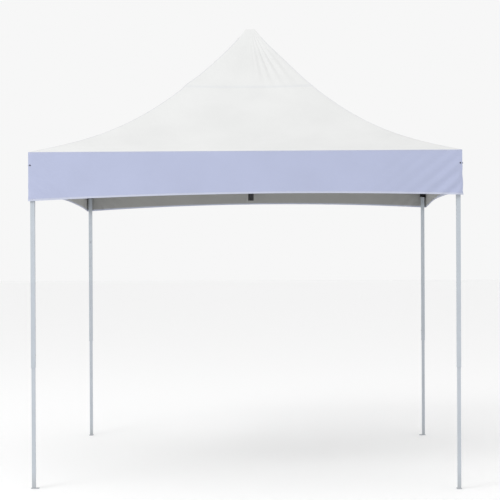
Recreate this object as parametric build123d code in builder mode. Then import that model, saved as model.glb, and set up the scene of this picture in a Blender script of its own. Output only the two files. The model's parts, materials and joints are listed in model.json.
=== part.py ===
from build123d import *

import os
from math import atan2, cos, degrees, exp, hypot, pi, radians, sin

# A 3 m x 3 m pop up canopy. +Z is up, the front side faces -Y, and the origin is on the floor
# under the middle of the frame. Everything is in millimetres, in the open (standing) position.

# ---------------------------------------------------------------- driving dimensions
LEG_PITCH = 2970.0  # between the centre lines of neighbouring legs
HALF = LEG_PITCH / 2
OUTER_TUBE = 30.0  # square tube of the upper leg
INNER_TUBE = 25.0  # square tube of the telescoping lower leg
LEG_WALL = 1.2
OUTER_LEG_FOOT = 845.0  # height of the lower end of the outer leg
OUTER_LEG_TOP = 2325.0
INNER_LEG_TOP = 1225.0

TOP_PIVOTS = 2310.0  # height of the pivots in the corner, top and hub brackets
TRUSS_DEPTH = 135.0  # from the top pivots down to the low pivots
LOW_PIVOTS = TOP_PIVOTS - TRUSS_DEPTH
CORNER_REACH = 50.0  # from a leg's centre line to a bar's pivot
MIDDLE_REACH = 38.0  # from the middle of a side to a bar's pivot
INWARD_REACH = 40.0  # from a mid-side bracket in to the centre bar's pivot
HUB_REACH = 48.0  # from the mast's axis to a centre bar's pivot

BAR_TALL = 24.0  # rectangular tube of the scissor bars
BAR_THICK = 12.0
BAR_WALL = 0.8
BAR_OVERHANG = 10.0  # tube past each end pivot
BAR_SHIFT = 7.0  # each bar's middle plane, either side of its truss's plane

PIN_RADIUS = 3.0
PIN_HOLE = 3.15
HEAD_RADIUS = 6.0
HEAD_THICK = 2.0
WASHER_RADIUS = 8.0
CHEEK = 3.0  # thickness of a fork's cheek
CHEEK_RADIUS = 12.0
SIDE_GAP = 0.5  # between a bar and each cheek
HEAD_GAP = 0.4  # between a cheek and the rivet head over it

BRACKET_HALF = 20.0  # half width of the corner bracket's block
SLIDER_HALF = 23.0
SLIDER_TALL = 80.0
SLIDER_FOOT = LOW_PIVOTS - 54  # lower edge of the slider
SLIDER_GAP = 0.4
GROOVE_WIDE = 11.0  # lets the height button pass up through the slider
GROOVE_DEEP = 4.4

BUTTON_RADIUS = 4.0
BUTTON_HOLE = 4.3
BUTTON_PROUD = 3.5
HEIGHT_HOLE_RISE = 87.0  # lowest height hole above the outer leg's lower end
HEIGHT_HOLE_STEP = 100.0
HEIGHT_HOLES = 3
STORAGE_TRAVEL = 800.0  # how far an inner leg slides up for storage
LOCK_BUTTON_DROP = 6.5  # lock button's axis below the slider's lower edge
CLIP_THICK = 0.8  # the leaf spring behind each button
CLIP_WIDE = 9.0
CLIP_LONG = 44.0

FOOT_THICK = 4.0
FOOT_TAB = 37.0  # the foot plate's reach inwards from the leg's centre line
FOOT_BACK = 19.0
FOOT_HALF = 17.0
STAKE_AT = 25.0
STAKE_RADIUS = 5.5

HUB_RADIUS = 22.0
HUB_HALF = 18.0
HUB_BOSS = 105.0  # the low hub's boss, below its pivots' forks
FORK_ROOT = 8.0  # how near the mast's axis the hub's forks start
GUIDE_RADIUS = 15.4
MAST_RADIUS = 14.0
MAST_WALL = 1.5
MAST_TOP = 2900.0
ROD_RADIUS = 10.0
ROD_WALL = 1.5
ROD_FOOT = 2520.0
DOME_RADIUS = 33.0

EAVE = 2355.0  # outside of the cover at the eaves
PEAK = 3410.0
PEAK_HALF = 35.0  # half width of the flat over the mast's dome
DOME_FOOT = PEAK - 35
DOME_TOP = PEAK - 2.5
COVER_HALF = 1511.0  # half width of the cover at the eaves
VALANCE_CORNER = 2015.0  # height of the hem at the corners
VALANCE_MIDDLE = 2060.0  # the hem bows up between them
ROOF_SAG = 0.19  # deepest sag of a hip, as a share of the roof's rise
PEAK_SAG = 0.15  # the extra sag beside the peak
PEAK_SPREAD = 0.115  # share of the slope over which that extra sag dies away
ROOF_LEVELS = 12
COVER_WALL = 1.5
ROOF_WALL = 1.5

LEGS = ("front_left", "front_right", "back_right", "back_left")
SIDES = ("front", "right", "back", "left")

os.makedirs("parts", exist_ok=True)


# ---------------------------------------------------------------- placing
def along(side):
    """The direction along a side, anticlockwise seen from above."""
    turn = radians(90 * side)
    return Vector(cos(turn), sin(turn), 0)


def outward(side):
    """The direction out of the canopy, square to a side."""
    turn = radians(90 * side)
    return Vector(sin(turn), -cos(turn), 0)


def spot(side, a, n, z):
    """A point from its distance along the side, its distance out from the middle and its height."""
    return along(side) * a + outward(side) * n + Vector(0, 0, z)


def save(piece, name):
    piece.label = name
    export_step(piece, f"parts/{name}.step")


# ---------------------------------------------------------------- shapes used many times
def add_fork(pivot_plane, reach):
    """Two cheeks that hold a bar's end between them, from its pivot back to the bracket's block."""
    first = BAR_THICK / 2 + SIDE_GAP
    for cheek_at in (first, -first - CHEEK):
        with BuildSketch(pivot_plane.offset(cheek_at)) as cheek:
            Circle(CHEEK_RADIUS)
            with Locations((-reach / 2, 0)):
                Rectangle(reach, 2 * CHEEK_RADIUS)
            Circle(PIN_HOLE, mode=Mode.SUBTRACT)
        extrude(cheek.sketch, amount=CHEEK)


def add_rivet(pivot_plane):
    """A rivet through a bar's end and both cheeks of its fork."""
    half = BAR_THICK / 2 + SIDE_GAP + CHEEK + HEAD_GAP
    with BuildSketch(pivot_plane.offset(-half)) as shank:
        Circle(PIN_RADIUS)
    extrude(shank.sketch, amount=2 * half)
    for head_at in (half, -half - HEAD_THICK):
        with BuildSketch(pivot_plane.offset(head_at)) as head:
            Circle(HEAD_RADIUS)
        extrude(head.sketch, amount=HEAD_THICK)


def add_crossing_rivet(cross_plane):
    """The rivet and spacer washer where two bars cross. The plane is midway between them."""
    reach = BAR_SHIFT + BAR_THICK / 2 + HEAD_GAP
    with BuildSketch(cross_plane.offset(-reach)) as shank:
        Circle(PIN_RADIUS)
    extrude(shank.sketch, amount=2 * reach)
    washer = 2 * (BAR_SHIFT - BAR_THICK / 2) - 2 * HEAD_GAP
    with BuildSketch(cross_plane.offset(-washer / 2)) as spacer:
        Circle(WASHER_RADIUS)
    extrude(spacer.sketch, amount=washer)
    for head_at in (reach, -reach - HEAD_THICK):
        with BuildSketch(cross_plane.offset(head_at)) as head:
            Circle(HEAD_RADIUS)
        extrude(head.sketch, amount=HEAD_THICK)


def save_bar(name, start, end, facing, shift, holds_crossing):
    """A scissor bar between two pivots of a truss. facing is the truss's normal, shift the bar's place along it."""
    length = (end - start).length
    middle = Plane(origin=(start + end) * 0.5, x_dir=(end - start).normalized(), z_dir=facing)
    bar_plane = middle.offset(shift)
    ends = (bar_plane.shift_origin(bar_plane.from_local_coords((-length / 2, 0, 0))),
            bar_plane.shift_origin(bar_plane.from_local_coords((length / 2, 0, 0))))
    tube_long = length + 2 * BAR_OVERHANG
    with BuildPart() as bar:
        with BuildSketch(bar_plane.offset(-BAR_THICK / 2)):
            Rectangle(tube_long, BAR_TALL)
        extrude(amount=BAR_THICK)
        with BuildSketch(bar_plane.offset(-BAR_THICK / 2 + BAR_WALL)):
            Rectangle(tube_long, BAR_TALL - 2 * BAR_WALL)
        extrude(amount=BAR_THICK - 2 * BAR_WALL, mode=Mode.SUBTRACT)
        with BuildSketch(bar_plane.offset(-BAR_THICK / 2)):
            with Locations((-length / 2, 0), (0, 0), (length / 2, 0)):
                Circle(PIN_HOLE)
        extrude(amount=BAR_THICK, mode=Mode.SUBTRACT)
        for end_plane in ends:
            add_rivet(end_plane)
        if holds_crossing:
            add_crossing_rivet(middle)
    save(bar.part, name)


def save_button(name, axis_plane, inner_wall, proud):
    """A snap button and the leaf that springs it. The plane is at the leg's axis, its Z out through the button."""
    with BuildPart() as button:
        with BuildSketch(axis_plane.offset(inner_wall - CLIP_THICK)):
            Circle(BUTTON_RADIUS)
        extrude(amount=proud - inner_wall + CLIP_THICK)
        fillet(button.faces().sort_by(Axis(axis_plane.origin, axis_plane.z_dir))[-1].edges(), 1.5)
        with BuildSketch(axis_plane.offset(inner_wall - 2 * CLIP_THICK)):
            with Locations((0, -CLIP_LONG / 2 + CLIP_WIDE)):
                Rectangle(CLIP_WIDE, CLIP_LONG)
        extrude(amount=CLIP_THICK)
    save(button.part, name)


def upright(side, a, n, z, facing):
    """A plane at a spot with its Z along facing and its Y straight up."""
    return Plane(origin=spot(side, a, n, z), x_dir=Vector(0, 0, 1).cross(facing), z_dir=facing)


# ---------------------------------------------------------------- legs
height_button_z = OUTER_LEG_FOOT + HEIGHT_HOLE_RISE
lock_button_z = SLIDER_FOOT - LOCK_BUTTON_DROP
height_holes = [height_button_z + HEIGHT_HOLE_STEP * i for i in range(HEIGHT_HOLES)]
height_holes.append(height_button_z + STORAGE_TRAVEL)

for k, leg in enumerate(LEGS):
    inward_a = along(k)  # towards the next leg
    inward_b = outward(k) * -1  # towards the previous leg
    level = Plane(origin=spot(k, -HALF, HALF, 0), x_dir=inward_a, z_dir=(0, 0, 1))

    with BuildPart() as outer_leg:
        with BuildSketch(level.offset(OUTER_LEG_FOOT)):
            Rectangle(OUTER_TUBE, OUTER_TUBE)
            Rectangle(OUTER_TUBE - 2 * LEG_WALL, OUTER_TUBE - 2 * LEG_WALL, mode=Mode.SUBTRACT)
        extrude(amount=OUTER_LEG_TOP - OUTER_LEG_FOOT)
        for hole_z in height_holes:
            with BuildSketch(upright(k, -HALF, HALF, hole_z, inward_a)):
                Circle(BUTTON_HOLE)
            extrude(amount=OUTER_TUBE, mode=Mode.SUBTRACT)
        with BuildSketch(upright(k, -HALF, HALF, lock_button_z, inward_b)):
            Circle(BUTTON_HOLE)
        extrude(amount=OUTER_TUBE, mode=Mode.SUBTRACT)
    save(outer_leg.part, f"{leg}_outer_leg")

    with BuildPart() as inner_leg:
        with BuildSketch(level.offset(FOOT_THICK)):
            Rectangle(INNER_TUBE, INNER_TUBE)
            Rectangle(INNER_TUBE - 2 * LEG_WALL, INNER_TUBE - 2 * LEG_WALL, mode=Mode.SUBTRACT)
        extrude(amount=INNER_LEG_TOP - FOOT_THICK)
        with BuildSketch(upright(k, -HALF, HALF, height_button_z, inward_a)):
            Circle(BUTTON_HOLE)
        extrude(amount=INNER_TUBE, mode=Mode.SUBTRACT)
        with BuildSketch(level):
            with Locations(((FOOT_TAB - FOOT_BACK) / 2, 0)):
                RectangleRounded(FOOT_TAB + FOOT_BACK, 2 * FOOT_HALF, 4)
            with Locations((STAKE_AT, 0)):
                Circle(STAKE_RADIUS, mode=Mode.SUBTRACT)
        extrude(amount=FOOT_THICK)
    save(inner_leg.part, f"{leg}_inner_leg")

    save_button(
        f"{leg}_height_button",
        upright(k, -HALF, HALF, height_button_z, inward_a),
        INNER_TUBE / 2 - LEG_WALL - 0.2,
        OUTER_TUBE / 2 + BUTTON_PROUD,
    )
    save_button(
        f"{leg}_lock_button",
        upright(k, -HALF, HALF, lock_button_z, inward_b),
        OUTER_TUBE / 2 - LEG_WALL - 0.2,
        OUTER_TUBE / 2 + BUTTON_PROUD,
    )

    with BuildPart() as corner_bracket:
        with BuildSketch(level.offset(OUTER_LEG_TOP - 40)):
            RectangleRounded(2 * BRACKET_HALF, 2 * BRACKET_HALF, 4)
        extrude(amount=EAVE - 10 - OUTER_LEG_TOP + 40)
        with BuildSketch(level.offset(OUTER_LEG_TOP - 40)):
            Rectangle(OUTER_TUBE + 0.6, OUTER_TUBE + 0.6)
        extrude(amount=40.3, mode=Mode.SUBTRACT)
        fork_a = spot(k, -HALF + CORNER_REACH, HALF + BAR_SHIFT, TOP_PIVOTS)
        fork_b = spot(k, -HALF - BAR_SHIFT, HALF - CORNER_REACH, TOP_PIVOTS)
        reach = CORNER_REACH - BRACKET_HALF + 1
        add_fork(Plane(origin=fork_a, x_dir=inward_a, z_dir=outward(k)), reach)
        add_fork(Plane(origin=fork_b, x_dir=inward_b, z_dir=inward_a), reach)
    save(corner_bracket.part, f"{leg}_corner_bracket")

    with BuildPart() as slider:
        with BuildSketch(level.offset(SLIDER_FOOT)):
            RectangleRounded(2 * SLIDER_HALF, 2 * SLIDER_HALF, 5)
        extrude(amount=SLIDER_TALL)
        fork_a = spot(k, -HALF + CORNER_REACH, HALF - BAR_SHIFT, LOW_PIVOTS)
        fork_b = spot(k, -HALF + BAR_SHIFT, HALF - CORNER_REACH, LOW_PIVOTS)
        reach = CORNER_REACH - SLIDER_HALF + 1
        add_fork(Plane(origin=fork_a, x_dir=inward_a, z_dir=outward(k)), reach)
        add_fork(Plane(origin=fork_b, x_dir=inward_b, z_dir=inward_a), reach)
        with BuildSketch(level.offset(SLIDER_FOOT)):
            Rectangle(OUTER_TUBE + 2 * SLIDER_GAP, OUTER_TUBE + 2 * SLIDER_GAP)
            with Locations((OUTER_TUBE / 2 + GROOVE_DEEP / 2, 0)):
                Rectangle(GROOVE_DEEP, GROOVE_WIDE)
        extrude(amount=SLIDER_TALL, mode=Mode.SUBTRACT)
    save(slider.part, f"{leg}_slider")

# ---------------------------------------------------------------- mid-side brackets
for k, side in enumerate(SIDES):
    for level_name, z, shift in (("top", TOP_PIVOTS, -BAR_SHIFT), ("low", LOW_PIVOTS, BAR_SHIFT)):
        with BuildPart() as middle_bracket:
            block_plane = Plane(origin=spot(k, 0, HALF, z - 15), x_dir=along(k), z_dir=(0, 0, 1))
            with BuildSketch(block_plane):
                RectangleRounded(42, 33, 3)
            extrude(amount=30)
            for way in (1, -1):
                pivot = spot(k, way * MIDDLE_REACH, HALF + shift, z)
                add_fork(Plane(origin=pivot, x_dir=along(k) * way, z_dir=outward(k)), MIDDLE_REACH - 20)
            pivot = spot(k, shift, HALF - INWARD_REACH, z)
            add_fork(Plane(origin=pivot, x_dir=outward(k) * -1, z_dir=along(k)), INWARD_REACH - 16)
        save(middle_bracket.part, f"{side}_{level_name}_bracket")

# ---------------------------------------------------------------- scissor bars
for k, side in enumerate(SIDES):
    for hand, way in (("left", -1), ("right", 1)):
        leg_end = way * (HALF - CORNER_REACH)
        mid_end = way * MIDDLE_REACH
        save_bar(
            f"{side}_{hand}_falling_bar",
            spot(k, leg_end, HALF, TOP_PIVOTS),
            spot(k, mid_end, HALF, LOW_PIVOTS),
            outward(k),
            BAR_SHIFT,
            True,
        )
        save_bar(
            f"{side}_{hand}_rising_bar",
            spot(k, leg_end, HALF, LOW_PIVOTS),
            spot(k, mid_end, HALF, TOP_PIVOTS),
            outward(k),
            -BAR_SHIFT,
            False,
        )
    save_bar(
        f"{side}_centre_falling_bar",
        spot(k, 0, HUB_REACH, TOP_PIVOTS),
        spot(k, 0, HALF - INWARD_REACH, LOW_PIVOTS),
        along(k),
        BAR_SHIFT,
        True,
    )
    save_bar(
        f"{side}_centre_rising_bar",
        spot(k, 0, HUB_REACH, LOW_PIVOTS),
        spot(k, 0, HALF - INWARD_REACH, TOP_PIVOTS),
        along(k),
        -BAR_SHIFT,
        False,
    )

# ---------------------------------------------------------------- hubs and mast
with BuildPart() as top_hub:
    with BuildSketch(Plane.XY.offset(TOP_PIVOTS - HUB_HALF)):
        Circle(HUB_RADIUS)
    extrude(amount=2 * HUB_HALF)
    for k in range(4):
        pivot = spot(k, BAR_SHIFT, HUB_REACH, TOP_PIVOTS)
        add_fork(Plane(origin=pivot, x_dir=outward(k), z_dir=along(k)), HUB_REACH - FORK_ROOT)
    with BuildSketch(Plane.XY.offset(TOP_PIVOTS - HUB_HALF)):
        Circle(GUIDE_RADIUS)
    extrude(amount=2 * HUB_HALF, mode=Mode.SUBTRACT)
save(top_hub.part, "top_hub")

with BuildPart() as mast:
    with BuildSketch(Plane.XY.offset(LOW_PIVOTS - HUB_HALF - HUB_BOSS)):
        Circle(HUB_RADIUS)
    extrude(amount=2 * HUB_HALF + HUB_BOSS)
    fillet(mast.faces().sort_by(Axis.Z)[0].edges(), 4)
    for k in range(4):
        pivot = spot(k, -BAR_SHIFT, HUB_REACH, LOW_PIVOTS)
        add_fork(Plane(origin=pivot, x_dir=outward(k), z_dir=along(k)), HUB_REACH - FORK_ROOT)
    with BuildSketch(Plane.XY.offset(LOW_PIVOTS - HUB_HALF)):
        Circle(MAST_RADIUS)
        Circle(MAST_RADIUS - MAST_WALL, mode=Mode.SUBTRACT)
    extrude(amount=MAST_TOP - LOW_PIVOTS + HUB_HALF)
save(mast.part, "mast")

with BuildPart() as mast_head:
    with BuildSketch(Plane.XY.offset(ROD_FOOT)):
        Circle(ROD_RADIUS)
        Circle(ROD_RADIUS - ROD_WALL, mode=Mode.SUBTRACT)
    extrude(amount=DOME_FOOT - ROD_FOOT)
    with BuildSketch(Plane.XY.offset(DOME_FOOT)):
        Circle(DOME_RADIUS)
    extrude(amount=DOME_TOP - DOME_FOOT)
    fillet(mast_head.faces().sort_by(Axis.Z)[-1].edges(), 14)
save(mast_head.part, "mast_head")

# ---------------------------------------------------------------- cover


def hip_height(share):
    """Height of a hip at a share of the way from the peak to a corner."""
    sag = sin(pi * share) * (ROOF_SAG + PEAK_SAG * exp(-share / PEAK_SPREAD))
    return EAVE + (PEAK - EAVE) * (1 - share - sag)


shares = [i / ROOF_LEVELS for i in range(ROOF_LEVELS + 1)]

with BuildPart() as canopy_cover:
    for share in shares:
        with BuildSketch(Plane.XY.offset(hip_height(share))):
            half = PEAK_HALF + (COVER_HALF - PEAK_HALF) * share
            Rectangle(2 * half, 2 * half)
    loft(ruled=True)
    with BuildSketch(Plane.XY.offset(VALANCE_CORNER)):
        Rectangle(2 * COVER_HALF, 2 * COVER_HALF)
    extrude(amount=EAVE - VALANCE_CORNER)
    for share in shares:
        with BuildSketch(Plane.XY.offset(hip_height(share) - ROOF_WALL)):
            half = PEAK_HALF + (COVER_HALF - PEAK_HALF) * share - COVER_WALL
            Rectangle(2 * half, 2 * half)
    loft(ruled=True, mode=Mode.SUBTRACT)
    with BuildSketch(Plane.XY.offset(VALANCE_CORNER)):
        Rectangle(2 * (COVER_HALF - COVER_WALL), 2 * (COVER_HALF - COVER_WALL))
    extrude(amount=EAVE - ROOF_WALL - VALANCE_CORNER, mode=Mode.SUBTRACT)
    for face_plane in (Plane.XZ, Plane.YZ):
        with BuildSketch(face_plane):
            with BuildLine():
                ThreePointArc(
                    (-COVER_HALF - 1, VALANCE_CORNER), (0, VALANCE_MIDDLE), (COVER_HALF + 1, VALANCE_CORNER)
                )
                Line((COVER_HALF + 1, VALANCE_CORNER), (-COVER_HALF - 1, VALANCE_CORNER))
            make_face()
        extrude(amount=COVER_HALF + 1, both=True, mode=Mode.SUBTRACT)
save(canopy_cover.part, "canopy_cover")

rest_angle = degrees(atan2(TRUSS_DEPTH, HALF - CORNER_REACH - MIDDLE_REACH))
bar_length = hypot(TRUSS_DEPTH, HALF - CORNER_REACH - MIDDLE_REACH)
print(f"bars: {bar_length:.2f} mm between pivots, at {rest_angle:.3f} degrees when open")
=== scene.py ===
# %% [markdown]
# # A pop up canopy
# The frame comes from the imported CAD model. This script sews the cover over it, gives every
# part its finish, and sets up a plain studio. Lengths are in metres; +Z is up and the front faces -Y.
# The frame is only dressed here. None of its parts is moved or reshaped, so it folds as it did in CAD.

# %% Load the frame
import json
from math import atan2, cos, exp, pi, radians, sin

import bpy
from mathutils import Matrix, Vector


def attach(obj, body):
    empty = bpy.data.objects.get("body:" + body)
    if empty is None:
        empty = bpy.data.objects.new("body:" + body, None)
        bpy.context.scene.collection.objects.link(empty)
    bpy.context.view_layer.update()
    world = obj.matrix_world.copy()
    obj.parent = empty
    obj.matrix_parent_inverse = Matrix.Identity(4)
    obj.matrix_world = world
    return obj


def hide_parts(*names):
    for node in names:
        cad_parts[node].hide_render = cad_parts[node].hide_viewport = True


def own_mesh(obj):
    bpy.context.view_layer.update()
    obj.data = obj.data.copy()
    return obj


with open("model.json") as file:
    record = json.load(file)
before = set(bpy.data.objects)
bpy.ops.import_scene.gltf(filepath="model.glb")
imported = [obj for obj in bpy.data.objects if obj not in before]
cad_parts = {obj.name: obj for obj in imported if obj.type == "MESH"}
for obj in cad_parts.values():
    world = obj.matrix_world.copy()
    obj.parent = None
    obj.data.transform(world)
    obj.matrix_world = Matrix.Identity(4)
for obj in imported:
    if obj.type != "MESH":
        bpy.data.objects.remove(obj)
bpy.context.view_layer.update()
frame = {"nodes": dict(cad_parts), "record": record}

# %% [markdown]
# ## Sizes
# These are the cover's own sizes. They agree with the CAD cover, so that the cloth sits where the
# frame expects it. Everything sewn later is worked out from them, so a change here changes it all.
# A side is numbered 0 to 3 from the front, and a point on it is found from its distance along the
# side, its distance out from the middle and its height.

# %% Sizes of the cover
HALF_WIDTH = 1.511  # from the middle to the cloth at the eaves
EAVE = 2.355
PEAK = 3.410
PEAK_HALF = 0.035
HEM_CORNERS = (2.012, 2.042, 2.028, 2.008)  # height of the hem at each leg, from the front left one
HEM_BOWS = (0.030, 0.045, 0.045, 0.060)  # how far each side's hem bows up, from the front one
ROOF_SAG = 0.19
PEAK_SAG = 0.15
PEAK_SPREAD = 0.115
CLOTH = 0.0012  # thickness of the cloth
STRIPS = 16  # strips of roof on each side
PATCH_EDGE = 0.312  # where the peak patch is sewn on, as a share of the slope
FOLDED_SHARE = 0.0915  # how narrow the roof folds, as a share of its open width, just inside the valance
PEAK_DROP = 1.037  # how far the peak comes down as the frame folds
CLOSED_TOP = -0.02  # the share at which the top of the roof closes over the mast
CROWN = 0.035  # share of the slope that the stiff crown takes up, at the top
SIDES = ("front", "right", "back", "left")
LEGS = ("front_left", "front_right", "back_right", "back_left")


def along(side):
    turn = radians(90 * side)
    return Vector((cos(turn), sin(turn), 0))


def outward(side):
    turn = radians(90 * side)
    return Vector((sin(turn), -cos(turn), 0))


def spot(side, a, n, z):
    """A point from its distance along the side, its distance out from the middle and its height."""
    return along(side) * a + outward(side) * n + Vector((0, 0, z))


# %% [markdown]
# ## Shader groups
# Two effects turn up on many parts: the weave of cloth, and the fine grain of paint and plastic. They
# could be painted into every material again, but a node group is made once and given its own values
# wherever it is used. The groups give out colours, roughness and normals only, and each material keeps
# its own shader, so that the finishes still come through when the model is exported.


# %% Helpers for shader nodes
def add_node(tree, kind, spot_x=0, spot_y=0, **values):
    node = tree.nodes.new(kind)
    node.location = (spot_x, spot_y)
    for name, value in values.items():
        setattr(node, name, value)
    return node


def new_group(name, inputs, outputs):
    """An empty shader group. Each input is (name, kind, value), and each output (name, kind)."""
    tree = bpy.data.node_groups.new(name, "ShaderNodeTree")
    for label, kind, value in inputs:
        socket = tree.interface.new_socket(name=label, in_out="INPUT", socket_type=kind)
        if value is not None:
            socket.default_value = value
    for label, kind in outputs:
        tree.interface.new_socket(name=label, in_out="OUTPUT", socket_type=kind)
    return tree, add_node(tree, "NodeGroupInput", -900), add_node(tree, "NodeGroupOutput", 700)


def math_node(tree, operation, a, b=None, spot_x=0, spot_y=0):
    node = add_node(tree, "ShaderNodeMath", spot_x, spot_y, operation=operation)
    for socket, value in zip(node.inputs, (a, b)):
        if value is None:
            continue
        if isinstance(value, (int, float)):
            socket.default_value = value
        else:
            tree.links.new(value, socket)
    return node.outputs[0]


# %% The woven cloth effect
def make_weave_group():
    """Fine threads both ways, soft blotches of colour and slow creases, from a position in metres."""
    tree, given, out = new_group(
        "woven cloth",
        [
            ("Position", "NodeSocketVector", None),
            ("Colour", "NodeSocketColor", (0.8, 0.8, 0.8, 1)),
            ("Threads per metre", "NodeSocketFloat", 900.0),
            ("Crease depth", "NodeSocketFloat", 0.3),
        ],
        [("Colour", "NodeSocketColor"), ("Roughness", "NodeSocketFloat"), ("Normal", "NodeSocketVector")],
    )
    link = tree.links.new
    parts = add_node(tree, "ShaderNodeSeparateXYZ", -700, 200)
    link(given.outputs["Position"], parts.inputs[0])
    waves = []
    pace = given.outputs["Threads per metre"]
    for i in range(3):
        row = 300 - 90 * i
        scaled = math_node(tree, "MULTIPLY", parts.outputs[i], pace, -520, row)
        waves.append(math_node(tree, "SINE", scaled, None, -360, row))
    threads = math_node(tree, "ADD", math_node(tree, "MULTIPLY", waves[0], waves[1]), waves[2], -200, 250)
    blotch = add_node(tree, "ShaderNodeTexNoise", -520, -60)
    blotch.inputs["Scale"].default_value = 2.6
    blotch.inputs["Detail"].default_value = 5.0
    link(given.outputs["Position"], blotch.inputs["Vector"])
    crease = add_node(tree, "ShaderNodeTexNoise", -520, -320)
    crease.inputs["Scale"].default_value = 7.0
    crease.inputs["Detail"].default_value = 3.0
    crease.inputs["Distortion"].default_value = 0.8
    link(given.outputs["Position"], crease.inputs["Vector"])
    shade = add_node(tree, "ShaderNodeMapRange", -300, -60)
    shade.inputs["From Min"].default_value = 0.3
    shade.inputs["From Max"].default_value = 0.7
    shade.inputs["To Min"].default_value = 0.965
    shade.inputs["To Max"].default_value = 1.02
    link(blotch.outputs["Fac"], shade.inputs["Value"])
    tint = add_node(tree, "ShaderNodeVectorMath", -60, 40, operation="SCALE")
    link(given.outputs["Colour"], tint.inputs[0])
    link(shade.outputs["Result"], tint.inputs["Scale"])
    link(tint.outputs[0], out.inputs["Colour"])
    rough = math_node(tree, "MULTIPLY_ADD", blotch.outputs["Fac"], 0.12, -60, -120)
    rough.node.inputs[2].default_value = 0.62
    link(rough, out.inputs["Roughness"])
    crease_bump = add_node(tree, "ShaderNodeBump", 100, -280)
    crease_bump.inputs["Distance"].default_value = 0.02
    link(given.outputs["Crease depth"], crease_bump.inputs["Strength"])
    link(crease.outputs["Fac"], crease_bump.inputs["Height"])
    thread_bump = add_node(tree, "ShaderNodeBump", 320, -200)
    thread_bump.inputs["Strength"].default_value = 0.12
    thread_bump.inputs["Distance"].default_value = 0.0006
    link(threads, thread_bump.inputs["Height"])
    link(crease_bump.outputs["Normal"], thread_bump.inputs["Normal"])
    link(thread_bump.outputs["Normal"], out.inputs["Normal"])
    return tree


weave_group = make_weave_group()
print("made", weave_group.name)


# %% The coated surface effect
def make_grain_group():
    """The orange peel of powder coat or the grain of moulded plastic, with light wear near the floor."""
    tree, given, out = new_group(
        "fine grain",
        [
            ("Colour", "NodeSocketColor", (0.5, 0.5, 0.5, 1)),
            ("Grain size", "NodeSocketFloat", 900.0),
            ("Grain depth", "NodeSocketFloat", 0.1),
            ("Smoothest", "NodeSocketFloat", 0.3),
        ],
        [("Colour", "NodeSocketColor"), ("Roughness", "NodeSocketFloat"), ("Normal", "NodeSocketVector")],
    )
    link = tree.links.new
    where = add_node(tree, "ShaderNodeTexCoord", -900, -300)
    grain = add_node(tree, "ShaderNodeTexNoise", -500, 100)
    grain.inputs["Detail"].default_value = 2.0
    link(where.outputs["Object"], grain.inputs["Vector"])
    link(given.outputs["Grain size"], grain.inputs["Scale"])
    smear = add_node(tree, "ShaderNodeTexNoise", -500, -200)
    smear.inputs["Scale"].default_value = 9.0
    smear.inputs["Detail"].default_value = 6.0
    link(where.outputs["Object"], smear.inputs["Vector"])
    height = add_node(tree, "ShaderNodeSeparateXYZ", -700, -420)
    link(where.outputs["Object"], height.inputs[0])
    dust = add_node(tree, "ShaderNodeMapRange", -500, -460)
    dust.inputs["From Min"].default_value = 0.12
    dust.inputs["From Max"].default_value = 0.0
    link(height.outputs["Z"], dust.inputs["Value"])
    dusty = math_node(tree, "MULTIPLY", dust.outputs["Result"], smear.outputs["Fac"], -300, -420)
    shade = add_node(tree, "ShaderNodeMapRange", -300, -200)
    shade.inputs["To Min"].default_value = 0.92
    shade.inputs["To Max"].default_value = 1.06
    link(smear.outputs["Fac"], shade.inputs["Value"])
    tint = add_node(tree, "ShaderNodeVectorMath", -60, 60, operation="SCALE")
    link(given.outputs["Colour"], tint.inputs[0])
    link(shade.outputs["Result"], tint.inputs["Scale"])
    soil = add_node(tree, "ShaderNodeMix", 140, 60, data_type="RGBA")
    link(math_node(tree, "MULTIPLY", dusty, 0.5), soil.inputs["Factor"])
    link(tint.outputs[0], soil.inputs["A"])
    soil.inputs["B"].default_value = (0.3, 0.28, 0.25, 1)
    link(soil.outputs["Result"], out.inputs["Colour"])
    rough = math_node(tree, "MULTIPLY", smear.outputs["Fac"], 0.16, -100, -200)
    rough = math_node(tree, "ADD", rough, given.outputs["Smoothest"], 60, -200)
    link(rough, out.inputs["Roughness"])
    bump = add_node(tree, "ShaderNodeBump", 300, -120)
    bump.inputs["Distance"].default_value = 0.0004
    link(given.outputs["Grain depth"], bump.inputs["Strength"])
    link(grain.outputs["Fac"], bump.inputs["Height"])
    link(bump.outputs["Normal"], out.inputs["Normal"])
    return tree


grain_group = make_grain_group()
print("made", grain_group.name)


# %% [markdown]
# ## Finishes
# The legs and bars are steel tube under a pale powder coat, which has a slight orange peel. The
# brackets, sliders and hubs are black nylon with a fine moulded grain, and the spring buttons are zinc
# plated. One function makes all of them, as only colour, shine and grain differ. The cover is coated
# polyester. Its inside is coloured darker than its outside as painted shade, and the valance's blue grey
# is partly painted sky shade. The cloth reads marks stored on each piece to tell its faces apart.


# %% Metal and plastic finishes
def new_material(name):
    """A material with its shader and output only."""
    material = bpy.data.materials.new(name)
    material.use_nodes = True
    tree = material.node_tree
    tree.nodes.clear()
    shader = add_node(tree, "ShaderNodeBsdfPrincipled", 400)
    out = add_node(tree, "ShaderNodeOutputMaterial", 700)
    tree.links.new(shader.outputs[0], out.inputs[0])
    return material, tree, shader


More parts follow.
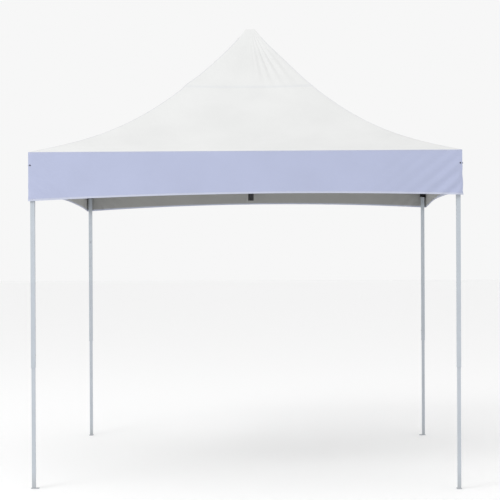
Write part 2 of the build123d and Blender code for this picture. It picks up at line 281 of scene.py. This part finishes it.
def make_grainy(name, colour, metallic, smoothest, grain_size, grain_depth, coat=0.0, specular=0.5):
    material, tree, shader = new_material(name)
    grain = add_node(tree, "ShaderNodeGroup", 100, node_tree=grain_group)
    grain.inputs["Colour"].default_value = (*colour, 1)
    grain.inputs["Grain size"].default_value = grain_size
    grain.inputs["Grain depth"].default_value = grain_depth
    grain.inputs["Smoothest"].default_value = smoothest
    tree.links.new(grain.outputs["Colour"], shader.inputs["Base Color"])
    tree.links.new(grain.outputs["Roughness"], shader.inputs["Roughness"])
    tree.links.new(grain.outputs["Normal"], shader.inputs["Normal"])
    shader.inputs["Metallic"].default_value = metallic
    shader.inputs["Coat Weight"].default_value = coat
    shader.inputs["Specular IOR Level"].default_value = specular
    return material


STEEL_GREY = (0.45, 0.49, 0.535)
powder_coat = make_grainy("powder coated steel", STEEL_GREY, 0.0, 0.28, 700, 0.25, 0.2)
BLACK = (0.012, 0.012, 0.013)
black_plastic = make_grainy("black moulded plastic", BLACK, 0.0, 0.36, 1400, 0.3, specular=0.25)
zinc_plate = make_grainy("zinc plated steel", (0.55, 0.56, 0.56), 1.0, 0.3, 1800, 0.15)
print("made", powder_coat.name, "-", black_plastic.name, "-", zinc_plate.name)


# %% A finish in two parts, split at a height
def make_split(name, split_height, lower, upper):
    """A finish that changes at a height. lower and upper are (colour, smoothest roughness)."""
    material, tree, shader = new_material(name)
    where = add_node(tree, "ShaderNodeTexCoord", -900)
    parts = add_node(tree, "ShaderNodeSeparateXYZ", -700)
    tree.links.new(where.outputs["Object"], parts.inputs[0])
    above = math_node(tree, "GREATER_THAN", parts.outputs["Z"], split_height, -500)
    groups = []
    for i, (colour, smoothest) in enumerate((lower, upper)):
        grain = add_node(tree, "ShaderNodeGroup", -200, -260 * i, node_tree=grain_group)
        grain.inputs["Colour"].default_value = (*colour, 1)
        grain.inputs["Grain size"].default_value = 1000
        grain.inputs["Grain depth"].default_value = 0.25
        grain.inputs["Smoothest"].default_value = smoothest
        groups.append(grain)
    for output, target in (("Colour", "Base Color"), ("Roughness", "Roughness"), ("Normal", "Normal")):
        kind = {"Colour": "RGBA", "Roughness": "FLOAT", "Normal": "VECTOR"}[output]
        mix = add_node(tree, "ShaderNodeMix", 150, data_type=kind)
        sockets = [s for s in mix.inputs if s.enabled]
        tree.links.new(above, sockets[0])
        tree.links.new(groups[0].outputs[output], sockets[1])
        tree.links.new(groups[1].outputs[output], sockets[2])
        tree.links.new([s for s in mix.outputs if s.enabled][0], shader.inputs[target])
    return material


HUB_TOP = 2.194  # where the mast's tube leaves its hub casting
DOME_FOOT = 3.3745  # where the mast's rod meets its dome
black = (BLACK, 0.36)
grey_steel = (STEEL_GREY, 0.28)
mast_finish = make_split("mast tube in its hub", HUB_TOP, black, grey_steel)
mast_head_finish = make_split("mast rod under its dome", DOME_FOOT, grey_steel, black)
print("made", mast_finish.name, "-", mast_head_finish.name)


# %% Cloth finishes
def make_cloth(name, outside, inside, band, threads, crease):
    """Cloth that reads its piece's own marks: 'inner' is the inside face, 'seam' the doubled bands."""
    material, tree, shader = new_material(name)
    link = tree.links.new
    where = add_node(tree, "ShaderNodeTexCoord", -1100)
    painted_shade_inside = add_node(tree, "ShaderNodeAttribute", -1100, -300, attribute_name="painted_shade_inside")
    seam = add_node(tree, "ShaderNodeAttribute", -1100, -500, attribute_name="seam")
    # The inside faces take a darker colour, which is painted shade.
    face = add_node(tree, "ShaderNodeMix", -700, data_type="RGBA")
    face.inputs["A"].default_value = (*outside, 1)
    face.inputs["B"].default_value = (*inside, 1)
    link(painted_shade_inside.outputs["Fac"], face.inputs["Factor"])
    doubled = add_node(tree, "ShaderNodeMix", -500, data_type="RGBA")
    link(seam.outputs["Fac"], doubled.inputs["Factor"])
    link(face.outputs["Result"], doubled.inputs["A"])
    doubled.inputs["B"].default_value = (*band, 1)
    weave = add_node(tree, "ShaderNodeGroup", -200, node_tree=weave_group)
    weave.inputs["Threads per metre"].default_value = threads
    weave.inputs["Crease depth"].default_value = crease
    link(where.outputs["Object"], weave.inputs["Position"])
    link(doubled.outputs["Result"], weave.inputs["Colour"])
    link(weave.outputs["Colour"], shader.inputs["Base Color"])
    link(weave.outputs["Roughness"], shader.inputs["Roughness"])
    link(weave.outputs["Normal"], shader.inputs["Normal"])
    shader.inputs["Sheen Weight"].default_value = 0.15
    shader.inputs["Specular IOR Level"].default_value = 0.35
    return material


THREADS_PER_METRE = 4200
# The darker inside colours given to both cloths are painted shade.
roof_cloth = make_cloth(
    "white roof cloth", (0.695, 0.7, 0.695), (0.6, 0.6, 0.59), (0.675, 0.685, 0.69), THREADS_PER_METRE, 0.1
)
# The valance cloth's blue grey outside colour is partly painted sky shade.
valance_cloth = make_cloth(
    "valance cloth", (0.4, 0.435, 0.592), (0.33, 0.33, 0.32), (0.5, 0.53, 0.65), THREADS_PER_METRE, 0.12
)
thread = make_grainy("sewing thread", (0.72, 0.72, 0.72), 0.0, 0.6, 3000, 0.3)
print("made", roof_cloth.name, "-", valance_cloth.name, "-", thread.name)

# %% [markdown]
# ## The frame's finishes
# Each CAD node takes the finish that belongs to its slot in the record. The mast and its head are each
# one node made of two materials, so their finishes change at a height instead.

# %% Finish the CAD nodes
finish_of_slot = {
    "powder_steel": powder_coat,
    "zinc_steel": powder_coat,
    "zinc_button": zinc_plate,
    "black_plastic": black_plastic,
    "cover_fabric": roof_cloth,
}
slot_of_node = {s["node"]: s["material_slot"] for s in frame["record"]["subparts"]}
for name, node in frame["nodes"].items():
    finish = finish_of_slot[slot_of_node[name]]
    if name == "mast":
        finish = mast_finish
    if name == "mast_head":
        finish = mast_head_finish
    for slot in node.material_slots:
        slot.material = finish
print("finished", len(frame["nodes"]), "CAD nodes")


# %% [markdown]
# ## The roof
# The real roof is four panels of cloth, pulled tight between the eaves and a sprung mast, so each slope
# sags in a smooth curve and has small folds near the peak. It could be simulated as cloth, but a tight
# skin is given well by a formula, which also keeps the stitches exactly on it. The skin is cut into
# strips from the crown to the eaves. The cuts don't show while it is up, as the strips share one shape
# and its normals.


# %% The roof's shape
def hip_height(share):
    share = max(share, 0)
    sag = sin(pi * share) * (ROOF_SAG + PEAK_SAG * exp(-share / PEAK_SPREAD))
    return EAVE + (PEAK - EAVE) * (1 - share - sag)


def half_width(share):
    """Half the roof's width, from the flat top down to the eaves."""
    return PEAK_HALF + (HALF_WIDTH - PEAK_HALF) * share


def bell(x, middle, width):
    return exp(-(((x - middle) / width) ** 2))


def roof_point(side, u, share):
    """A point of the roof. u runs from -1 to 1 across, and share from 0 at the peak to 1 at the eaves."""
    half = half_width(share)
    if share < 0:
        half = PEAK_HALF * (1 - share / CLOSED_TOP * 0.97)
    roundness = 0.08 * (1 - max(share, 0)) ** 2
    point = spot(side, u * half, half * (1 + roundness * (1 - u * u)), hip_height(share))
    point.z += 0.003 * (1 - (half / PEAK_HALF) ** 2) if share < 0 else 0
    turn = atan2(point.y, point.x)
    away = Vector((cos(turn), sin(turn), 0))
    slack = 0.016 * sin(pi * max(share, 0)) ** 2 * (1 - u * u)
    point.z -= slack
    fuller = 0.018 * bell(turn, radians(-43), 0.3) * bell(share, 0.15, 0.1)
    fold = 0.012 * bell(turn, radians(-136), 0.09) * bell(share, 0.29, 0.03)
    pleats = 0.006 * sin(turn * 44) * bell(turn, radians(-62), 0.3) * bell(share, 0.18, 0.1)
    ripple = 0.003 * sin(turn * 13 + share * 9) * sin(pi * max(share, 0)) * (1 - u * u)
    patch = 0.0015 if share < PATCH_EDGE else 0.0
    if share < 0:
        return point + Vector((0, 0, patch))
    return point + away * (fuller + fold + pleats + ripple) + Vector((0, 0, patch))


def roof_normal(side, u, share):
    if share < 0:
        return Vector((0, 0, 1))
    step = 0.004
    across = roof_point(side, min(u + step, 1), share) - roof_point(side, max(u - step, -1), share)
    high = min(max(share, 2 * step), 1 - step)
    down = roof_point(side, u, high + step) - roof_point(side, u, high - step)
    return across.cross(down).normalized() * -1


print("peak", round(roof_point(0, 0, 0).z, 3), "eave", round(roof_point(0, 0, 1).z, 3))


# %% Build a closed sheet from a grid
def make_sheet(name, rows, normals, under, seams, material):
    """A thin closed sheet. rows is the grid of points outside, under the one inside, seams their values."""
    count = len(rows)
    wide = len(rows[0])
    top = [p for row in rows for p in row]
    bottom = [p for row in under for p in row]
    verts = top + bottom
    faces = []
    for i in range(count - 1):
        for j in range(wide - 1):
            a = i * wide + j
            faces.append((a, a + wide, a + wide + 1, a + 1))
            b = a + len(top)
            faces.append((b, b + 1, b + wide + 1, b + wide))
    edge = list(range(wide))
    edge += [i * wide + wide - 1 for i in range(1, count)]
    edge += [(count - 1) * wide + j for j in range(wide - 2, -1, -1)]
    edge += [i * wide for i in range(count - 2, 0, -1)]
    skin = len(faces)
    for i, a in enumerate(edge):
        b = edge[(i + 1) % len(edge)]
        faces.append((a, b, b + len(top), a + len(top)))
    mesh = bpy.data.meshes.new(name)
    mesh.from_pydata([tuple(p) for p in verts], [], faces)
    mesh.materials.append(material)
    # This mask marks the inside faces, which the cloth colours darker as painted shade.
    painted_shade_inside = mesh.attributes.new("painted_shade_inside", "FLOAT", "POINT")
    painted_shade_inside.data.foreach_set("value", [0.0] * len(top) + [1.0] * len(bottom))
    seam = mesh.attributes.new("seam", "FLOAT", "POINT")
    flat_seams = [s for row in seams for s in row]
    seam.data.foreach_set("value", flat_seams + flat_seams)
    flat_normals = [n for row in normals for n in row]
    mesh.polygons.foreach_set("use_smooth", [i < skin for i in range(len(faces))])
    corner_normals = []
    for polygon in mesh.polygons:
        for vertex in polygon.vertices:
            if polygon.index >= skin:
                corner_normals.append(tuple(polygon.normal))
            elif vertex < len(top):
                corner_normals.append(tuple(flat_normals[vertex]))
            else:
                corner_normals.append(tuple(-flat_normals[vertex - len(top)]))
    mesh.normals_split_custom_set(corner_normals)
    piece = bpy.data.objects.new(name, mesh)
    bpy.context.scene.collection.objects.link(piece)
    return piece


# %% Stitches and studs made with geometry nodes
STITCH_LIFT = 0.0006  # how far a stitch stands off the cloth
STITCH_SPACING = 0.006
STITCH_LENGTH = 0.004
THREAD_RADIUS = 0.0004


def node_tool(name, inputs):
    """A geometry node tree with its geometry sockets and the named inputs."""
    tree = bpy.data.node_groups.new(name, "GeometryNodeTree")
    tree.interface.new_socket(name="Geometry", in_out="INPUT", socket_type="NodeSocketGeometry")
    for label, value in inputs:
        socket = tree.interface.new_socket(name=label, in_out="INPUT", socket_type="NodeSocketFloat")
        socket.default_value = value
    tree.interface.new_socket(name="Geometry", in_out="OUTPUT", socket_type="NodeSocketGeometry")
    return tree, add_node(tree, "NodeGroupInput", -800), add_node(tree, "NodeGroupOutput", 800)


def finish_instances(tree, out, points, item, facing, material):
    """Put an item on every point, turned along facing, then make it real and give it its material."""
    link = tree.links.new
    turn = add_node(tree, "FunctionNodeAlignRotationToVector", -100, -300, axis="Z")
    link(facing, turn.inputs["Vector"])
    place = add_node(tree, "GeometryNodeInstanceOnPoints", 100)
    link(points, place.inputs["Points"])
    link(item, place.inputs["Instance"])
    link(turn.outputs["Rotation"], place.inputs["Rotation"])
    real = add_node(tree, "GeometryNodeRealizeInstances", 300)
    link(place.outputs["Instances"], real.inputs["Geometry"])
    paint = add_node(tree, "GeometryNodeSetMaterial", 500)
    paint.inputs["Material"].default_value = material
    link(real.outputs["Geometry"], paint.inputs["Geometry"])
    link(paint.outputs["Geometry"], out.inputs[0])


def make_stitch_tool():
    sizes = [("Spacing", STITCH_SPACING), ("Length", STITCH_LENGTH), ("Radius", THREAD_RADIUS)]
    tree, given, out = node_tool("stitches along a line", sizes)
    link = tree.links.new
    curve = add_node(tree, "GeometryNodeMeshToCurve", -600)
    link(given.outputs["Geometry"], curve.inputs["Mesh"])
    points = add_node(tree, "GeometryNodeCurveToPoints", -400, mode="LENGTH")
    link(curve.outputs["Curve"], points.inputs["Curve"])
    link(given.outputs["Spacing"], points.inputs["Length"])
    item = add_node(tree, "GeometryNodeMeshCylinder", -400, -300)
    item.inputs["Vertices"].default_value = 6
    link(given.outputs["Radius"], item.inputs["Radius"])
    link(given.outputs["Length"], item.inputs["Depth"])
    way = points.outputs["Tangent"]
    finish_instances(tree, out, points.outputs["Points"], item.outputs["Mesh"], way, thread)
    return tree


def make_stud_tool():
    tree, given, out = node_tool("studs on points", [("Radius", 0.004), ("Height", 0.002)])
    link = tree.links.new
    points = add_node(tree, "GeometryNodeMeshToPoints", -400)
    link(given.outputs["Geometry"], points.inputs["Mesh"])
    facing = add_node(tree, "GeometryNodeInputNamedAttribute", -400, -200, data_type="FLOAT_VECTOR")
    facing.inputs["Name"].default_value = "facing"
    item = add_node(tree, "GeometryNodeMeshCylinder", -400, -400)
    item.inputs["Vertices"].default_value = 20
    link(given.outputs["Radius"], item.inputs["Radius"])
    link(given.outputs["Height"], item.inputs["Depth"])
    way = facing.outputs[0]
    finish_instances(tree, out, points.outputs["Points"], item.outputs["Mesh"], way, black_plastic)
    return tree


def run_tool(name, mesh, tree, **values):
    """Run a geometry node tree over a mesh and keep the plain mesh that it makes."""
    guide = bpy.data.objects.new(f"{name}_guide", mesh)
    bpy.context.scene.collection.objects.link(guide)
    modifier = guide.modifiers.new("tool", "NODES")
    modifier.node_group = tree
    for socket in tree.interface.items_tree:
        if socket.in_out == "INPUT" and socket.name in values:
            modifier[socket.identifier] = values[socket.name]
    view = bpy.context.evaluated_depsgraph_get()
    made = bpy.data.meshes.new_from_object(guide.evaluated_get(view))
    made.name = name
    guide.modifiers.remove(modifier)
    bpy.data.objects.remove(guide)
    piece = bpy.data.objects.new(name, made)
    bpy.context.scene.collection.objects.link(piece)
    return piece


stitch_tool = make_stitch_tool()
stud_tool = make_stud_tool()


def sew(name, lines):
    """A row of stitches along each line of points."""
    verts, edges = [], []
    for line in lines:
        edges += [(len(verts) + i, len(verts) + i + 1) for i in range(len(line) - 1)]
        verts += [tuple(p) for p in line]
    mesh = bpy.data.meshes.new(f"{name}_line")
    mesh.from_pydata(verts, edges, [])
    sizes = {"Spacing": STITCH_SPACING, "Length": STITCH_LENGTH, "Radius": THREAD_RADIUS}
    piece = run_tool(name, mesh, stitch_tool, **sizes)
    return piece


print("made", stitch_tool.name, "and", stud_tool.name)


# %% Share of cloth kept when folded
def gather(piece, start, end, end_folded, drop):
    """Work out the share of the cloth's length that is kept when its far end reaches end_folded and its body
    comes down by drop, and give the piece its own mesh.
    """
    path = end_folded + Vector((0, 0, drop)) - end
    direction = path.normalized()
    reach = (end - start).dot(direction)
    keep = min(max(1 - path.length / abs(reach), 0.01), 1)
    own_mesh(piece)
    return keep


# %% Sew the crown
# The crown is the stiff, doubled top of the roof. It sits on the mast's dome and keeps its shape.
CROWN_STEPS = 6
CROWN_COLUMNS = 24
for side, side_name in enumerate(SIDES):
    u_values = [-1 + 2 * j / CROWN_COLUMNS for j in range(CROWN_COLUMNS + 1)]
    shares = [CLOSED_TOP, CLOSED_TOP / 2] + [CROWN * i / CROWN_STEPS for i in range(CROWN_STEPS + 1)]
    rows = [[roof_point(side, u, s) for u in u_values] for s in shares]
    normals = [[roof_normal(side, u, s) for u in u_values] for s in shares]
    under = [[p - n * CLOTH for p, n in zip(row, line)] for row, line in zip(rows, normals)]
    no_seams = [[0.0] * len(u_values)] * len(rows)
    piece = make_sheet(f"{side_name}_crown", rows, normals, under, no_seams, roof_cloth)
    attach(piece, "mast_head")
    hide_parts("canopy_cover")


# %% Sew the roof's strips
ROWS = 72
COLUMNS = 8
HIP_STITCH = 0.006  # how far the hip's stitches are from the hip
HIP_BAND = 0.012  # width of the doubled cloth beside a hip
PATCH_BAND = 0.016  # share of the slope that the patch's doubled edge takes up
PATCH_STEP = 0.0005  # half the share over which the patch's edge steps down


def strip_edge(strip):
    """Where a strip starts across the side. The strips get narrower towards the corners."""
    share = -1 + 2 * strip / STRIPS
    return 0.2 * share + 0.8 * sin(pi / 2 * share)


strip_pieces = []
for side, side_name in enumerate(SIDES):
    for strip in range(STRIPS):
        left, right = strip_edge(strip), strip_edge(strip + 1)
        u_values = [left + (right - left) * j / COLUMNS for j in range(COLUMNS + 1)]
        shares = [CROWN] + [i / ROWS for i in range(ROWS + 1) if i / ROWS > CROWN]
        shares = sorted(shares + [PATCH_EDGE - PATCH_STEP, PATCH_EDGE + PATCH_STEP])
        rows = [[roof_point(side, u, s) for u in u_values] for s in shares]
        normals = [[roof_normal(side, u, s) for u in u_values] for s in shares]
        under = [[p - n * CLOTH for p, n in zip(row, line)] for row, line in zip(rows, normals)]
        seams = []
        for s in shares:
            half = half_width(s)
            band = 1.0 if PATCH_EDGE - PATCH_BAND < s < PATCH_EDGE else 0.0
            seams.append([max(band, 1.0 if (1 - abs(u)) * half < HIP_BAND else 0.0) for u in u_values])
        name = f"{side_name}_roof_strip_{strip + 1:02d}"
        piece = make_sheet(name, rows, normals, under, seams, roof_cloth)
        seam_line = shares.index(PATCH_EDGE - PATCH_STEP) - 1
        lines = [[p + n * STITCH_LIFT for p, n in zip(rows[seam_line], normals[seam_line])]]
        hip = {0: -1, STRIPS - 1: 1}.get(strip)
        if hip:
            beside = [(s, hip * (1 - HIP_STITCH / half_width(s))) for s in shares]
            lines.append([roof_point(side, u, s) + roof_normal(side, u, s) * STITCH_LIFT for s, u in beside])
        stitches = sew(f"{name}_stitches", lines)
        middle = COLUMNS // 2
        foot = rows[-1][middle]
        folded = Vector((foot.x * FOLDED_SHARE, foot.y * FOLDED_SHARE, EAVE))
        for cloth in (piece, stitches):
            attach(cloth, "mast_head")
            keep = gather(cloth, rows[0][middle], foot, folded, PEAK_DROP)
        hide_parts("canopy_cover")
        strip_pieces.append(piece)
print(len(strip_pieces), "roof strips, the last keeps", round(keep, 3), "of its length when folded")


# %% [markdown]
# ## The valance
# Four panels hang from the eaves to a hem that bows up between the corners. The cloth is held at the
# corners, so wrinkles run down towards them and fade out along the side. The hem is folded over and
# sewn twice, which shows as a lighter band. Sine waves that fade with distance give these wrinkles, and
# they can be placed and sized by hand. Each panel rides on the bracket in the middle of its side.


# %% The valance's shape
def hem_height(side, a):
    share = (a / HALF_WIDTH + 1) / 2
    level = HEM_CORNERS[side] * (1 - share) + HEM_CORNERS[(side + 1) % 4] * share
    return level + HEM_BOWS[side] * (1 - (a / HALF_WIDTH) ** 2)


corner_pull = {(0, 1): 1.0, (0, -1): 0.6, (1, -1): 0.8, (1, 1): 0.5}


def valance_point(side, a, down, inward=0.0):
    """A point of the valance. down runs from 0 at the eave to 1 at the hem."""
    low = hem_height(side, a)
    z = EAVE + (low - EAVE) * down
    end = 1 if a > 0 else -1
    from_corner = HALF_WIDTH - abs(a)
    held = 1 - exp(-from_corner / 0.03)
    pull = corner_pull.get((side, end), 0.55)
    diagonal = sin((from_corner * 0.8 - (EAVE - z)) * 62 + side)
    wrinkle = 0.010 * pull * (1 + diagonal) * exp(-from_corner / 0.2) * (0.25 + 0.75 * down)
    wave = 0.003 * (1 + sin(a * 5.1 + side * 1.7)) * down * down
    fine = 0.0008 * (1 + sin(a * 31 + side)) * down
    out = held * (wrinkle + wave + fine)
    limit = HALF_WIDTH - inward
    return spot(side, a * limit / HALF_WIDTH, limit + out, z)


def valance_normal(side, a, down):
    step = 0.003
    across = valance_point(side, min(a + step, HALF_WIDTH), down)
    across = across - valance_point(side, max(a - step, -HALF_WIDTH), down)
    fall = valance_point(side, a, min(down + step, 1)) - valance_point(side, a, max(down - step, 0))
    return across.cross(fall).normalized() * -1


# %% Sew the valance
DOWN_STEPS = 40
ACROSS_STEPS = 300
HEM_BAND = 0.014
HEM_STITCHES = (0.004, 0.012)  # how far each row of stitches is above the hem
EAVE_STITCH = 0.02  # share of the drop at which the valance is sewn to the roof
valance_pieces = []
for side, side_name in enumerate(SIDES):
    a_values = [HALF_WIDTH * (-1 + 2 * i / ACROSS_STEPS) for i in range(ACROSS_STEPS + 1)]
    downs = [i / DOWN_STEPS for i in range(DOWN_STEPS + 1)]
    rows = [[valance_point(side, a, d) for a in a_values] for d in downs]
    under = [[valance_point(side, a, d, CLOTH) for a in a_values] for d in downs]
    normals = [[valance_normal(side, a, d) for a in a_values] for d in downs]
    seams = []
    for d in downs:
        seams.append([1.0 if (1 - d) * (EAVE - hem_height(side, a)) < HEM_BAND else 0.0 for a in a_values])
    piece = make_sheet(f"{side_name}_valance", rows, normals, under, seams, valance_cloth)
    lines = []
    for above_hem in HEM_STITCHES:
        share_down = [1 - above_hem / (EAVE - hem_height(side, a)) for a in a_values]
        lines.append([valance_point(side, a, d, -STITCH_LIFT) for a, d in zip(a_values, share_down)])
    lines.append([valance_point(side, a, EAVE_STITCH, -STITCH_LIFT) for a in a_values])
    stitches = sew(f"{side_name}_valance_stitches", lines)
    for cloth in (piece, stitches):
        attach(cloth, f"{side_name}_top_bracket")
        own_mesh(cloth)
    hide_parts("canopy_cover")
    valance_pieces.append(piece)
print(len(valance_pieces), "valance panels")

# %% Corner studs
# A dark stud holds the cover to each corner bracket, on both faces of the corner.
STUD_DROP = 0.092  # how far a stud is below the eaves
STUD_IN = 0.014  # how far a stud is from the corner
for corner, leg in enumerate(LEGS):
    places = []
    for side, a in ((corner, -HALF_WIDTH + STUD_IN), ((corner + 3) % 4, HALF_WIDTH - STUD_IN)):
        down = STUD_DROP / (EAVE - hem_height(side, a))
        places.append((valance_point(side, a, down, -0.001), outward(side)))
    mesh = bpy.data.meshes.new(f"{leg}_stud_places")
    mesh.from_pydata([tuple(p) for p, _ in places], [], [])
    facing = mesh.attributes.new("facing", "FLOAT_VECTOR", "POINT")
    facing.data.foreach_set("vector", [x for _, way in places for x in way])
    studs = run_tool(f"{leg}_corner_studs", mesh, stud_tool, Radius=0.005, Height=0.003)
    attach(studs, f"{leg}_leg")
print("studs on", len(LEGS), "corners")

# %% [markdown]
# ## The studio
# A pale floor, soft light from all round and a camera at eye height, twelve metres off. A long lens
# keeps the legs nearly upright. Most of the light is an even sky, as hard lamps would put dark edges on
# white cloth. A large lamp at the front left, and a weak one at the right, tell the slopes apart.

# %% Floor
floor_material, floor_tree, floor_shader = new_material("pale floor")
floor_noise = add_node(floor_tree, "ShaderNodeTexNoise", -300)
floor_noise.inputs["Scale"].default_value = 1.5
floor_shade = add_node(floor_tree, "ShaderNodeMapRange", -100)
floor_shade.inputs["To Min"].default_value = 0.955
floor_shade.inputs["To Max"].default_value = 0.975
floor_tree.links.new(floor_noise.outputs["Fac"], floor_shade.inputs["Value"])
floor_tree.links.new(floor_shade.outputs["Result"], floor_shader.inputs["Base Color"])
floor_shader.inputs["Roughness"].default_value = 0.8
floor_mesh = bpy.data.meshes.new("floor")
floor_mesh.from_pydata([(-60, -60, 0), (60, -60, 0), (60, 60, 0), (-60, 60, 0)], [], [(0, 1, 2, 3)])
floor_mesh.materials.append(floor_material)
floor = bpy.data.objects.new("floor", floor_mesh)
bpy.context.scene.collection.objects.link(floor)


# %% Lights
def add_light(name, place, aim, size, power, colour=(1, 1, 1)):
    light = bpy.data.lights.new(name, "AREA")
    light.shape = "SQUARE"
    light.size = size
    light.energy = power
    light.color = colour
    lamp = bpy.data.objects.new(name, light)
    lamp.location = place
    lamp.rotation_euler = (Vector(aim) - Vector(place)).to_track_quat("-Z", "Y").to_euler()
    bpy.context.scene.collection.objects.link(lamp)
    return lamp


add_light("key light", (-7, -8, 9), (0, 0, 2), 5, 480)
add_light("fill light", (8, -6, 6), (0, 0, 2), 6, 60)
world = bpy.data.worlds.new("soft studio")
bpy.context.scene.world = world
world.use_nodes = True
sky = world.node_tree.nodes["Background"]
sky.inputs["Color"].default_value = (1, 1, 1, 1)
sky.inputs["Strength"].default_value = 0.93
bpy.context.scene.view_settings.view_transform = "Standard"
print("floor, two soft lights and an even sky")

# %% Camera
camera_data = bpy.data.cameras.new("camera")
camera_data.lens = 108.6
camera_data.sensor_width = 36
camera = bpy.data.objects.new("camera", camera_data)
camera.location = (0.36, -12.0, 1.70)
camera.rotation_euler = (radians(90 - 0.19), radians(0.25), radians(1.761))
bpy.context.scene.collection.objects.link(camera)
bpy.context.scene.camera = camera
print("camera at", tuple(camera.location))
